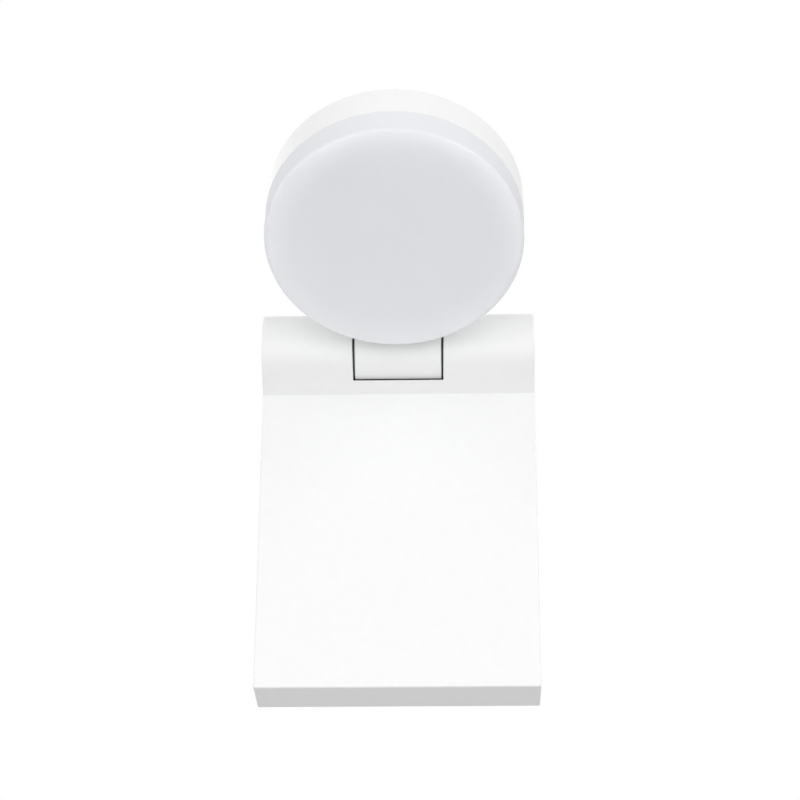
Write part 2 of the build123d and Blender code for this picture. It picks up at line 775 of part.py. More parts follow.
# Head housing: a shallow cast cup with a rounded back edge. The knuckle and its neck are cast on.
neck_end = 24.0
neck_back = -12.6
neck_front = 3.4
back_radius = 2.6
inner_head_radius = head_radius - shell_wall
with BuildPart() as head_housing:
    with BuildSketch(head_section(-knuckle_half)):
        Circle(knuckle_radius)
    extrude(amount=2 * knuckle_half)
    chamfer(head_housing.edges().filter_by(GeomType.CIRCLE), mouth_radius)
    neck_start = head_point(0, 0, (neck_back + neck_front) / 2)
    with BuildSketch(Plane(origin=neck_start, x_dir=(1, 0, 0), z_dir=head_plane.y_dir)):
        RectangleRounded(2 * knuckle_half, neck_front - neck_back, 1)
    extrude(amount=neck_end)
    with BuildSketch(head_turning_plane()):
        with BuildLine():
            Polyline(
                (head_radius, head_back + back_radius),
                (head_radius, head_joint),
                (0, head_joint),
                (0, head_back),
                (head_radius - back_radius, head_back),
            )
            RadiusArc(
                (head_radius - back_radius, head_back),
                (head_radius, head_back + back_radius),
                -back_radius,
            )
        make_face()
    revolve(axis=head_axis)

    # The cup's inside: a flat seat for the board, and a shallow groove for the diffuser's bead.
    with BuildSketch(head_turning_plane()):
        with BuildLine():
            Polyline(
                (0, board_seat),
                (41.5, board_seat),
                (41.5, board_seat - 1),
                (inner_head_radius, board_seat - 1),
                (inner_head_radius, 1.3),
                (inner_head_radius + 0.4, 1.6),
                (inner_head_radius + 0.4, 2),
                (inner_head_radius, 2.3),
                (inner_head_radius, head_joint),
                (0, head_joint),
                close=True,
            )
        make_face()
        with Locations((head_radius - 1.4, head_joint - 0.5)):
            Rectangle(1.1, 1)
    revolve(axis=head_axis, mode=Mode.SUBTRACT)

    # Bore for the pivot tube, ring grooves in both sides, and the lead's way through the neck.
    with BuildSketch(head_section(-knuckle_half)):
        Circle(tube_radius + 0.02)
    extrude(amount=2 * knuckle_half, mode=Mode.SUBTRACT)
    for side in (-1, 1):
        with BuildSketch(end_plane(knuckle_half, side)):
            Circle(ring_radius + 0.1)
            Circle(ring_radius - 1.7, mode=Mode.SUBTRACT)
        extrude(amount=-1.05, mode=Mode.SUBTRACT)
    passage_way = head_point(0, *passage_end) - head_point(0, 0, 0)
    with BuildSketch(Plane(origin=head_point(0, 0, 0), z_dir=passage_way)):
        Circle(2.6)
    extrude(amount=passage_way.length + 1, mode=Mode.SUBTRACT)

    # Tapped hole for the grub screw in the hidden side of the knuckle, and blind board holes.
    with BuildSketch(Plane(origin=head_point(9, 0, 0), z_dir=-facing)):
        Circle(2)
    extrude(amount=barrel_radius + 1, mode=Mode.SUBTRACT)
    with BuildSketch(head_plane.offset(board_seat)):
        with Locations(head_centre):
            with PolarLocations(36, 3, start_angle=90):
                Circle(1.25)
    extrude(amount=-3.2, mode=Mode.SUBTRACT)
head_housing.part.label = "head_housing"
export_step(head_housing.part, "parts/head_housing.step")

# Grub screw: locks the pivot tube to the knuckle; a hexagon socket in its outer end.
with BuildPart() as knuckle_grub:
    with BuildSketch(Plane(origin=head_point(9, 0, -tube_radius), z_dir=-facing)):
        Circle(2)
    extrude(amount=8)
    with BuildSketch(Plane(origin=head_point(9, 0, -tube_radius - 8), z_dir=facing)):
        RegularPolygon(radius=1, side_count=6, major_radius=False)
    extrude(amount=2.5, mode=Mode.SUBTRACT)
knuckle_grub.part.label = "knuckle_grub"
export_step(knuckle_grub.part, "parts/knuckle_grub.step")

# Thermal pad: a thin soft sheet between the seat and the board.
with BuildPart() as thermal_pad:
    with BuildSketch(head_plane.offset(board_seat)):
        with Locations(head_centre):
            Circle(40)
            with PolarLocations(36, 3, start_angle=90):
                Circle(2, mode=Mode.SUBTRACT)
    extrude(amount=0.4)
thermal_pad.part.label = "thermal_pad"
export_step(thermal_pad.part, "parts/thermal_pad.step")

# Light board: a round aluminium board.
with BuildPart() as led_board:
    with BuildSketch(head_plane.offset(board_seat + 0.4)):
        with Locations(head_centre):
            Circle(41)
            with PolarLocations(36, 3, start_angle=90):
                Circle(1.6, mode=Mode.SUBTRACT)
    extrude(amount=board_front - board_seat - 0.4)
led_board.part.label = "led_board"
export_step(led_board.part, "parts/led_board.step")

# Light chips: an inner ring of eight and an outer ring of sixteen.
with BuildPart() as led_chips:
    with BuildSketch(head_plane.offset(board_front)):
        with Locations(head_centre):
            with PolarLocations(15, 8):
                Rectangle(3, 3)
            with PolarLocations(30, 16):
                Rectangle(3, 3)
    extrude(amount=0.7)
led_chips.part.label = "led_chips"
export_step(led_chips.part, "parts/led_chips.step")

# Reflector: a white sheet over the board, with a window for each chip, screw and connector.
with BuildPart() as reflector:
    with BuildSketch(head_plane.offset(board_front)):
        with Locations(head_centre):
            Circle(43)
            with PolarLocations(15, 8):
                Rectangle(4, 4, mode=Mode.SUBTRACT)
            with PolarLocations(30, 16):
                Rectangle(4, 4, mode=Mode.SUBTRACT)
            with PolarLocations(36, 3, start_angle=90):
                Circle(3.4, mode=Mode.SUBTRACT)
        with Locations((0, connector_side + 2.5)):
            Rectangle(9, 8, mode=Mode.SUBTRACT)
    extrude(amount=0.5)
reflector.part.label = "reflector"
export_step(reflector.part, "parts/reflector.step")

# Board screws: three pan heads.
with BuildPart() as board_screws:
    with BuildSketch(head_plane.offset(board_front)):
        with Locations(head_centre):
            with PolarLocations(36, 3, start_angle=90):
                Circle(2.8)
    extrude(amount=1.8)
    with BuildSketch(head_plane.offset(board_front)):
        with Locations(head_centre):
            with PolarLocations(36, 3, start_angle=90):
                Circle(1.25)
    extrude(amount=-5)
board_screws.part.label = "board_screws"
export_step(board_screws.part, "parts/board_screws.step")

# Board connector: a small block that the head lead plugs into.
with BuildPart() as board_connector:
    with BuildSketch(head_plane.offset(board_front)):
        with Locations((0, connector_side + 3)):
            Rectangle(8, 6)
    extrude(amount=5)
    socket_plane = Plane(
        origin=head_point(0, connector_side, passage_end[1]),
        x_dir=(1, 0, 0),
        z_dir=head_plane.y_dir,
    )
    with BuildSketch(socket_plane):
        Circle(lead_radius)
    extrude(amount=2.2, mode=Mode.SUBTRACT)
board_connector.part.label = "board_connector"
export_step(board_connector.part, "parts/board_connector.step")

# Diffuser: a moulded opal cup with a rounded front edge. Its spigot has a small bead that snaps
# into the housing's groove.
diffuser_radius = head_radius - 0.2
diffuser_wall = 2.2
diffuser_edge = 1.1
spigot_radius = inner_head_radius - 0.2
with BuildPart() as diffuser:
    with BuildSketch(head_turning_plane()):
        with BuildLine():
            Polyline(
                (diffuser_radius, head_front - diffuser_edge),
                (diffuser_radius, head_joint),
                (spigot_radius, head_joint),
                (spigot_radius, 2.3),
                (spigot_radius + 0.3, 2),
                (spigot_radius + 0.3, 1.6),
                (spigot_radius, 1.3),
                (spigot_radius, 0.5),
                (spigot_radius - 2, 0.5),
                (spigot_radius - 2, 5.5),
                (diffuser_radius - diffuser_wall, 7.5),
                (diffuser_radius - diffuser_wall, head_front - diffuser_wall),
                (0, head_front - diffuser_wall),
                (0, head_front),
                (diffuser_radius - diffuser_edge, head_front),
            )
            RadiusArc(
                (diffuser_radius - diffuser_edge, head_front),
                (diffuser_radius, head_front - diffuser_edge),
                diffuser_edge,
            )
        make_face()
    revolve(axis=head_axis)
diffuser.part.label = "diffuser"
export_step(diffuser.part, "parts/diffuser.step")

# Diffuser seal: a square silicone ring in the housing's front rim.
with BuildPart() as diffuser_seal:
    with BuildSketch(head_turning_plane()):
        with Locations((head_radius - 1.4, head_joint - 0.5)):
            Rectangle(1.1, 1)
    revolve(axis=head_axis)
diffuser_seal.part.label = "diffuser_seal"
export_step(diffuser_seal.part, "parts/diffuser_seal.step")
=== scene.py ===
# %% [markdown]
# # An outdoor wall lamp, finished and lit
# The lamp has a flat cast base with a hinge barrel along its top, and a thick round head that
# tilts on that hinge. Its solid pieces come ready made and in place. This lesson gives every
# surface its finish, models the small fasteners in full, and takes the picture from below, as
# a person in front of a low camera would see the lamp on its wall.

from math import atan2, cos, degrees, pi, radians, sin

import bmesh
import bpy
from mathutils import Matrix, Vector


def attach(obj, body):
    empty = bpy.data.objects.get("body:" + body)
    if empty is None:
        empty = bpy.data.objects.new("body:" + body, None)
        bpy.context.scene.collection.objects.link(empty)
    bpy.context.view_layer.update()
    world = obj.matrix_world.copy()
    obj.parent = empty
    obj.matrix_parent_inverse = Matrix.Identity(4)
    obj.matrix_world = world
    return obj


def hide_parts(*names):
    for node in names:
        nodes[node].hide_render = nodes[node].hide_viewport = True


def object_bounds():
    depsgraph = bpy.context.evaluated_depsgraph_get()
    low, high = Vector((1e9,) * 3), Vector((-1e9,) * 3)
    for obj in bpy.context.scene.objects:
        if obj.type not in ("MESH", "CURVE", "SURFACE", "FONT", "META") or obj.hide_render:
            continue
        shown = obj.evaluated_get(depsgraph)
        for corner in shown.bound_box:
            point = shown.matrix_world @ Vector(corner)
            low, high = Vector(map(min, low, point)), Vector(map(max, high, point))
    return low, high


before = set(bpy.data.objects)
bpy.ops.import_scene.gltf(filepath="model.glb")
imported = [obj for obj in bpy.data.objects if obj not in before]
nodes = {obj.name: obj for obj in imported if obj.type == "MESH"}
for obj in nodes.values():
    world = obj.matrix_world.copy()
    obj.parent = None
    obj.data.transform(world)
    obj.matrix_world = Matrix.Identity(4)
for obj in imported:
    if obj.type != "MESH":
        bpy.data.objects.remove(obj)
cad_low, cad_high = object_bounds()
print(len(nodes), "solid pieces in a box of", [round(x, 4) for x in cad_high - cad_low])

# %% [markdown]
# ## Units and colours
# Blender works in metres and this lamp is drawn in millimetres, so one value turns one into
# the other. Colours are picked as hex codes on a screen, but a renderer adds light up,
# so it needs each channel as an amount of light. One function makes that change.

# %% Millimetres and linear colours
MM = 0.001


def linear(hex_code):
    """A colour picked on a screen, as the light it stands for."""
    channels = [int(hex_code[i:i + 2], 16) / 255 for i in (1, 3, 5)]
    light = [c / 12.92 if c <= 0.04045 else ((c + 0.055) / 1.055) ** 2.4 for c in channels]
    return (*light, 1.0)


print("mid grey on a screen is", round(linear("#808080")[0], 3), "of the light of white")

# %% [markdown]
# ## The camera
# The picture is taken from in front and well below: the camera looks up 27 degrees and turns
# under 2 degrees to the left, from almost a metre away. The lens is long, so the plate's sides
# close in only a little towards the top.

# %% Place the camera
image_width = 800
focal_pixels = 2410.8
sensor_width = 36.0
camera_place = Vector((27.1, -889.0, -382.3)) * MM
look_up = radians(27.06)
look_left = radians(1.751)
lean = radians(0.292)

forward = Vector((-sin(look_left) * cos(look_up), cos(look_left) * cos(look_up), sin(look_up)))
level = Vector((cos(look_left), sin(look_left), 0))
upright = level.cross(forward)
right = cos(lean) * level + sin(lean) * upright
up = cos(lean) * upright - sin(lean) * level

camera_data = bpy.data.cameras.new("camera")
camera_data.sensor_width = sensor_width
camera_data.lens = focal_pixels / image_width * sensor_width
camera_data.clip_start = 0.05
camera = bpy.data.objects.new("camera", camera_data)
camera_turn = Matrix((right, up, -forward)).transposed().to_4x4()
camera.matrix_world = Matrix.Translation(camera_place) @ camera_turn
bpy.context.scene.collection.objects.link(camera)
bpy.context.scene.camera = camera
print("lens", round(camera_data.lens, 1), "mm, looking up", round(degrees(look_up), 1), "degrees")

# %% [markdown]
# ## One helper for nodes
# Every finish below is a small network of nodes. One function adds a node with its settings and
# links. Two more start a material and end it with its shader, so that plain values always sit
# on the shader's own sockets.

# %% Add nodes, start and end a material
def add_node(holder, kind, inputs=None, **settings):
    """Adds one node. Each input, by name or number, takes a plain value or another output."""
    tree = holder.node_tree
    node = tree.nodes.new("ShaderNode" + kind)
    for name, value in settings.items():
        setattr(node, name, value)
    for name, value in (inputs or {}).items():
        if isinstance(value, bpy.types.NodeSocket):
            tree.links.new(value, node.inputs[name])
        else:
            node.inputs[name].default_value = value
    return node


def start_material(name):
    """An empty material, with the place of each point on its piece as the pattern's space."""
    material = bpy.data.materials.new(name)
    material.use_nodes = True
    material.node_tree.nodes.clear()
    return material, add_node(material, "TexCoord").outputs["Object"]


def end_material(material, inputs, **settings):
    """Ends a material with one shader that takes these inputs and settings."""
    shader = add_node(material, "BsdfPrincipled", inputs, **settings)
    add_node(material, "OutputMaterial", {"Surface": shader.outputs[0]})
    print("finish", material.name)
    return material


# %% [markdown]
# ## The studio
# The light comes from everywhere at about half strength, and a wide soft lamp in front adds
# about the other half, so a surface that faces the camera shows its own colour and the
# undersides fall into a light grey. Two weaker lamps, high on either side, reach in under the
# head, which would shade the barrel from one lamp above. Another one behind keeps the back
# readable. The surroundings are plain white wherever they are seen or mirrored.

# %% Light from all around
def only_seen(holder):
    """1 for a ray that sees or mirrors a surface or looks through glass, 0 for plain light."""
    path = add_node(holder, "LightPath")
    seen = add_node(
        holder,
        "Math",
        {0: path.outputs["Is Camera Ray"], 1: path.outputs["Is Glossy Ray"]},
        operation="ADD",
    )
    seen_or_through = add_node(
        holder,
        "Math",
        {0: seen.outputs[0], 1: path.outputs["Is Transmission Ray"]},
        operation="ADD",
        use_clamp=True,
    )
    return seen_or_through.outputs[0]


ambient_share = 0.48
world = bpy.data.worlds.new("studio")
world.use_nodes = True
world.node_tree.nodes.clear()
white = linear("#FFFFFF")
room_light = add_node(world, "Background", {"Color": white, "Strength": ambient_share})
white_ground = add_node(world, "Background", {"Color": white, "Strength": 1.0})
either = add_node(
    world,
    "MixShader",
    {0: only_seen(world), 1: room_light.outputs[0], 2: white_ground.outputs[0]},
)
add_node(world, "OutputWorld", {"Surface": either.outputs[0]})
bpy.context.scene.world = world
bpy.context.scene.view_settings.view_transform = "Standard"
print("light from all around:", ambient_share)


# %% Lamps
# A square lamp lights a surface that faces it with its watts over pi and over the distance
# squared, and light of the strength pi shows a colour as it is written.
def soft_lamp(name, place, size, share):
    """A square lamp aimed at the object. A surface that faces it gets this share of full light."""
    middle = (cad_low + cad_high) / 2
    place = Vector(place)
    aim = middle - place
    data = bpy.data.lights.new(name, "AREA")
    data.shape = "SQUARE"
    data.size = size
    data.energy = share * pi * pi * aim.length_squared
    lamp = bpy.data.objects.new(name, data)
    turn = aim.to_track_quat("-Z", "Y").to_matrix().to_4x4()
    lamp.matrix_world = Matrix.Translation(place) @ turn
    lamp.visible_camera = False
    bpy.context.scene.collection.objects.link(lamp)
    print(name, "gives", share, "with", round(data.energy, 1), "W")


soft_lamp("front_lamp", (0.1, -1.5, -0.27), 1.4, 0.515)
soft_lamp("left_lamp", (-1.9, -0.9, 1.0), 1.6, 0.255)
soft_lamp("right_lamp", (1.9, -0.9, 1.0), 1.6, 0.285)
soft_lamp("back_lamp", (-0.4, 1.6, 0.9), 1.8, 0.3)

# %% [markdown]
# ## The floor
# The lamp hangs on a wall, so the floor is well below it and below the camera too. It only
# shows in views from above. Down there it gets less light than the lamp does, so where it is
# seen it glows a little, which keeps it pale and lights nothing else. The wall itself is left
# out, so that the back can be seen.

# %% Floor
floor_drop = 1.4
floor_width = 60
floor_lift = 0.18
cloud_width = 0.33
bpy.ops.object.select_all(action="DESELECT")
bpy.ops.mesh.primitive_plane_add(size=floor_width, location=(0, 0, cad_low.z - floor_drop))
floor = bpy.context.active_object
floor.name = "floor"
floor_finish, floor_space = start_material("pale_matt_board")
mottle = add_node(
    floor_finish, "TexNoise", {"Vector": floor_space, "Scale": 1 / cloud_width, "Detail": 2.0}
)
shade = add_node(floor_finish, "ValToRGB", {"Fac": mottle.outputs[0]})
shade.color_ramp.elements[0].color = linear("#E3E3E3")
shade.color_ramp.elements[1].color = linear("#E7E7E7")
lift = add_node(
    floor_finish, "Math", {0: only_seen(floor_finish), 1: floor_lift}, operation="MULTIPLY"
)
end_material(
    floor_finish,
    {
        "Base Color": shade.outputs[0],
        "Roughness": 0.9,
        "Emission Color": white,
        "Emission Strength": lift.outputs[0],
    },
)
floor.data.materials.append(floor_finish)
print("floor at", round(floor.location.z, 3), "m")


# %% [markdown]
# ## White powder coat
# The base and the head are die-cast aluminium under a polyester powder coat. The powder melts
# and flows before it sets, which leaves a very shallow orange peel, and the satin grade has a
# fine tooth on top that breaks reflections up. Both are relief in the surface, so they go to
# the shader's normal, and the colour stays an even white. Sizes and depths are in millimetres.

# %% Powder coat
peel_size = 3.0
peel_depth = 0.012
tooth_size = 0.5
tooth_depth = 0.002
coat_roughness = (0.38, 0.46)


def powder_coat():
    """White satin polyester powder on a casting: even colour, soft shine, faint orange peel."""
    material, space = start_material("satin_powder_coat")
    peel = add_node(
        material, "TexNoise", {"Vector": space, "Scale": 1 / (peel_size * MM), "Detail": 1.0}
    )
    tooth = add_node(
        material, "TexNoise", {"Vector": space, "Scale": 1 / (tooth_size * MM), "Detail": 2.0}
    )
    flow = add_node(
        material,
        "Bump",
        {"Height": peel.outputs[0], "Distance": peel_depth * MM, "Strength": 1.0},
    )
    surface = add_node(
        material,
        "Bump",
        {
            "Height": tooth.outputs[0],
            "Distance": tooth_depth * MM,
            "Strength": 1.0,
            "Normal": flow.outputs[0],
        },
    )
    sheen = add_node(
        material,
        "MapRange",
        {"Value": peel.outputs[0], "To Min": coat_roughness[0], "To Max": coat_roughness[1]},
    )
    powder = add_node(material, "ValToRGB", {"Fac": peel.outputs[0]})
    powder.color_ramp.elements[0].color = linear("#F3F4F3")
    powder.color_ramp.elements[1].color = linear("#F6F7F6")
    return end_material(
        material,
        {
            "Base Color": powder.outputs[0],
            "Roughness": sheen.outputs[0],
            "IOR": 1.5,
            "Normal": surface.outputs[0],
        },
    )


# %% [markdown]
# ## Opal acrylic
# The diffuser is an injection-moulded cup of opal acrylic. Light enters it, scatters and comes
# out again near by, so its face looks soft and slightly bluish, and its satin mould leaves a
# broad, weak shine. The scattering distance below is where the last light comes out. The mean
# step is about a twelfth of it, or one millimetre. Behind the cup's face lies a white
# reflector, and behind its side only bare metal. Only the face scatters light, and the side is
# painted a little darker than the face: painted shade, for light that the cup gathers inside
# and gives out through its face. The change follows the head's own axis, over the last
# millimetre before the cup's face, so the way the head faces at rest is worked out first.

# %% The way the head faces
head_tilt = radians(65)
hinge_middle = Vector((0, -20, 83))
hinge_to_head = 67.25
head_facing = Vector((0, -cos(head_tilt), -sin(head_tilt)))
head_upward = Vector((0, -sin(head_tilt), cos(head_tilt)))
head_middle = hinge_middle + hinge_to_head * head_upward
print("the head's middle is at", [round(x, 1) for x in head_middle], "mm")

# %% Opal acrylic
scatter_depth = 12.0
satin_size = 0.6
satin_depth = 0.001
satin_roughness = (0.62, 0.70)
milk_cloud_size = 40.0
side_end = 16.3
face_start = 17.1
side_painted_shade_share = 0.955


def opal_acrylic():
    """Moulded opal acrylic with a satin face: milky, faintly blue, with light inside, and painted
    shade on its side.
    """
    material, space = start_material("moulded_opal_acrylic")
    satin = add_node(
        material, "TexNoise", {"Vector": space, "Scale": 1 / (satin_size * MM), "Detail": 2.0}
    )
    cloud = add_node(
        material,
        "TexNoise",
        {"Vector": space, "Scale": 1 / (milk_cloud_size * MM), "Detail": 1.0},
    )
    milk = add_node(material, "ValToRGB", {"Fac": cloud.outputs[0]})
    milk.color_ramp.elements[0].color = linear("#ECEDF1")
    milk.color_ramp.elements[1].color = linear("#EFF0F3")
    along_axis = add_node(
        material, "VectorMath", {0: space, 1: head_facing}, operation="DOT_PRODUCT"
    )
    middle_depth = head_middle.dot(head_facing)
    on_face = add_node(
        material,
        "MapRange",
        {
            "Value": along_axis.outputs["Value"],
            "From Min": (middle_depth + side_end) * MM,
            "From Max": (middle_depth + face_start) * MM,
        },
        interpolation_type="SMOOTHSTEP",
    )
    # The milk colour drops to this share on the cup's side: painted shade, not a different
    # plastic.
    painted_side_shade = add_node(
        material, "MapRange", {"Value": on_face.outputs[0], "To Min": side_painted_shade_share, "To Max": 1.0}
    )
    milk_with_painted_side_shade = add_node(
        material,
        "VectorMath",
        {0: milk.outputs[0], "Scale": painted_side_shade.outputs[0]},
        operation="SCALE",
    )
    surface = add_node(
        material,
        "Bump",
        {"Height": satin.outputs[0], "Distance": satin_depth * MM, "Strength": 1.0},
    )
    sheen = add_node(
        material,
        "MapRange",
        {"Value": satin.outputs[0], "To Min": satin_roughness[0], "To Max": satin_roughness[1]},
    )
    return end_material(
        material,
        {
            "Base Color": milk_with_painted_side_shade.outputs[0],
            "Roughness": sheen.outputs[0],
            "IOR": 1.49,
            "Subsurface Weight": on_face.outputs[0],
            "Subsurface Radius": (1.0, 1.0, 1.0),
            "Subsurface Scale": scatter_depth * MM,
            "Normal": surface.outputs[0],
        },
        subsurface_method="BURLEY",
    )


# %% [markdown]
# ## Rubber and foam
# The seal against the wall is closed-cell sponge rubber, which shows as fine pits, and the pits
# are painted darker as painted shade. The grommet, the knuckle's rain rings and the strip behind
# the slot's lip are solid moulded rubber, dull with a faint bloom. The strip's black also partly
# stands in as painted shade in the crevice under the knuckle. The seal under the diffuser is
# clear silicone, the heat pad is filled silicone, and the two leads at the hinge are sheathed in
# black silicone.

# %% Sponge rubber
cell_size = 0.7
cell_depth = 0.15


def sponge_rubber():
    """Closed-cell sponge rubber, cut from sheet: charcoal, dull, pitted with small cells, whose
    pits are painted darker as painted shade.
    """
    material, space = start_material("closed_cell_sponge_rubber")
    cells = add_node(
        material, "TexVoronoi", {"Vector": space, "Scale": 1 / (cell_size * MM)}
    )
    # Darker in the middle of each cell, where the bump sinks into a pit: painted shade in the
    # pits.
    grey = add_node(material, "ValToRGB", {"Fac": cells.outputs["Distance"]})
    grey.color_ramp.elements[0].color = linear("#1C1C1D")
    grey.color_ramp.elements[1].color = linear("#39393B")
    pits = add_node(
        material,
        "Bump",
        {"Height": cells.outputs["Distance"], "Distance": cell_depth * MM, "Strength": 0.8},
    )
    return end_material(
        material,
        {"Base Color": grey.outputs[0], "Roughness": 0.92, "Normal": pits.outputs[0]},
    )


# %% Solid rubber and silicone
bloom_size = 5.56
bloom_depth = 0.02


def moulded_rubber(name, dark_hex, pale_hex, roughness):
    """Solid moulded rubber or silicone: an even tone with a faint cloudy bloom."""
    material, space = start_material(name)
    bloom = add_node(
        material, "TexNoise", {"Vector": space, "Scale": 1 / (bloom_size * MM), "Detail": 4.0}
    )
    tone = add_node(material, "ValToRGB", {"Fac": bloom.outputs[0]})
    tone.color_ramp.elements[0].color = linear(dark_hex)
    tone.color_ramp.elements[1].color = linear(pale_hex)
    skin = add_node(
        material,
        "Bump",
        {"Height": bloom.outputs[0], "Distance": bloom_depth * MM, "Strength": 0.6},
    )
    return end_material(
        material,
        {
            "Base Color": tone.outputs[0],
            "Roughness": roughness,
            "IOR": 1.52,
            "Normal": skin.outputs[0],
        },
    )


# %% [markdown]
# ## Sheet and turned metals
# The bracket is pressed from zinc-plated steel sheet: bluish and faintly clouded, with the
# streaks of the rolling mill. The inner screws are zinc plated too, and cold headed, so they
# have no streaks. The pivot tube and its nuts are stainless steel, turned on a lathe, which
# leaves fine rings round the hinge axis, and the side screws and the knuckle's grub screw lie
# the same way and share that finish. The clamps are extruded brass and the lug is tinned
# copper.

# %% Zinc-plated sheet
streak_width = 16.7
streak_height = 0.714
streak_depth = 0.006
plating_size = 11.1
sheet_roughness = (0.28, 0.46)


def zinc_sheet():
    """Rolled and zinc-plated steel sheet: bluish grey, streaked along the rolling direction."""
    material, space = start_material("zinc_plated_sheet_steel")
    along, across = 1 / (streak_width * MM), 1 / (streak_height * MM)
    stretched = add_node(material, "Mapping", {"Vector": space, "Scale": (along, along, across)})
    streaks = add_node(
        material, "TexNoise", {"Vector": stretched.outputs[0], "Scale": 1.0, "Detail": 3.0}
    )
    plating = add_node(
        material, "TexNoise", {"Vector": space, "Scale": 1 / (plating_size * MM), "Detail": 3.0}
    )
    tone = add_node(material, "ValToRGB", {"Fac": plating.outputs[0]})
    tone.color_ramp.elements[0].position = 0.3
    tone.color_ramp.elements[0].color = linear("#A1A6AC")
    tone.color_ramp.elements[1].position = 0.7
    tone.color_ramp.elements[1].color = linear("#B4B9BE")
    shine = add_node(
        material,
        "MapRange",
        {"Value": streaks.outputs[0], "To Min": sheet_roughness[0], "To Max": sheet_roughness[1]},
    )
    rolling = add_node(
        material,
        "Bump",
        {"Height": streaks.outputs[0], "Distance": streak_depth * MM, "Strength": 0.7},
    )
    return end_material(
        material,
        {
            "Base Color": tone.outputs[0],
            "Metallic": 1.0,
            "Roughness": shine.outputs[0],
            "Normal": rolling.outputs[0],
        },
    )


# %% Turned metal
ring_depth = 0.004
spot_size = 2.5
spot_share = 0.06


# At a scale of 1 the bands of Wave repeat every pi / 10 metres.
def turned_metal(name, hex_code, roughness, ring_pitch):
    """Metal turned about the hinge axis: rings across X, as fine as the feed of the tool."""
    material, space = start_material(name)
    along = add_node(
        material,
        "TexWave",
        {"Vector": space, "Scale": pi / (10 * ring_pitch * MM), "Distortion": 0.4, "Detail": 1.0},
        wave_type="BANDS",
        bands_direction="X",
    )
    spots = add_node(
        material, "TexNoise", {"Vector": space, "Scale": 1 / (spot_size * MM), "Detail": 2.0}
    )
    shine = add_node(
        material,
        "MapRange",
        {
            "Value": spots.outputs[0],
            "To Min": roughness - spot_share,
            "To Max": roughness + spot_share,
        },
    )
    rings = add_node(
        material,
        "Bump",
        {"Height": along.outputs[0], "Distance": ring_depth * MM, "Strength": 0.8},
    )
    return end_material(
        material,
        {
            "Base Color": linear(hex_code),
            "Metallic": 1.0,
            "Roughness": shine.outputs[0],
            "Normal": rings.outputs[0],
        },
    )


# %% Plated and extruded metal
cloud_size = 2.86
cloud_share = 0.08


def plated_metal(name, dark_hex, pale_hex, roughness):
    """Plated or extruded metal without a direction: small cloudy changes of tone and shine."""
    material, space = start_material(name)
    cloud = add_node(
        material, "TexNoise", {"Vector": space, "Scale": 1 / (cloud_size * MM), "Detail": 4.0}
    )
    tone = add_node(material, "ValToRGB", {"Fac": cloud.outputs[0]})
    tone.color_ramp.elements[0].color = linear(dark_hex)
    tone.color_ramp.elements[1].color = linear(pale_hex)
    shine = add_node(
        material,
        "MapRange",
        {
            "Value": cloud.outputs[0],
            "To Min": roughness - cloud_share,
            "To Max": roughness + cloud_share,
        },
    )
    return end_material(
        material,
        {"Base Color": tone.outputs[0], "Metallic": 1.0, "Roughness": shine.outputs[0]},
    )


# %% [markdown]
# ## Moulded plastics, leads and the light board
# The terminal block is natural nylon, slightly waxy. The driver's case is polycarbonate from
# a spark-eroded mould, with a fine even texture. The bushes and the rings beside the knuckle
# are black acetal, and the rings' black partly stands in as painted shade in the knuckle's side
# gaps. The leads have coloured insulation: brown and blue for the supply, and green
# with a yellow stripe for earth. The light board has a glossy white mask under a matt white
# film, and its chips are capped with phosphor.

# %% Moulded plastic
grain_share = 0.05
waxy_depth = 1.0


def moulded_plastic(name, hex_code, roughness, grain_size, grain_depth, glow=0.0):
    """Moulded plastic: the mould's grain in relief, and light that enters a little if waxy."""
    material, space = start_material(name)
    grain = add_node(
        material, "TexNoise", {"Vector": space, "Scale": 1 / (grain_size * MM), "Detail": 2.0}
    )
    face = add_node(
        material,
        "Bump",
        {"Height": grain.outputs[0], "Distance": grain_depth * MM, "Strength": 1.0},
    )
    shine = add_node(
        material,
        "MapRange",
        {
            "Value": grain.outputs[0],
            "To Min": roughness - grain_share,
            "To Max": roughness + grain_share,
        },
    )
    return end_material(
        material,
        {
            "Base Color": linear(hex_code),
            "Roughness": shine.outputs[0],
            "IOR": 1.53,
            "Subsurface Weight": glow,
            "Subsurface Radius": (1.0, 0.8, 0.6),
            "Subsurface Scale": waxy_depth * MM,
            "Normal": face.outputs[0],
        },
    )


# %% Two-colour insulation
# Two points of the lead's middle line, and how far from it towards the wall the stripe starts.
inner_x, inner_y = 10, -12.0
outer_x, outer_y = 34, -14.9
stripe_depth = 0.45


def earth_insulation():
    """Green insulation with a yellow stripe along the side that faces the wall."""
    material, space = start_material("green_and_yellow_pvc")
    axes = add_node(material, "SeparateXYZ", {0: space})
    centre = add_node(
        material,
        "MapRange",
        {
            "Value": axes.outputs["X"],
            "From Min": inner_x * MM,
            "From Max": outer_x * MM,
            "To Min": inner_y * MM,
            "To Max": outer_y * MM,
        },
    )
    depth = add_node(
        material, "Math", {0: axes.outputs["Y"], 1: centre.outputs[0]}, operation="SUBTRACT"
    )
    stripe = add_node(
        material, "Math", {0: depth.outputs[0], 1: stripe_depth * MM}, operation="GREATER_THAN"
    )
    colour = add_node(
        material,
        "Mix",
        {0: stripe.outputs[0], 6: linear("#2E8B3D"), 7: linear("#E3D32B")},
        data_type="RGBA",
    )
    return end_material(
        material, {"Base Color": colour.outputs[2], "Roughness": 0.42, "IOR": 1.53}
    )


# %% Light chips
speck_size = 0.4


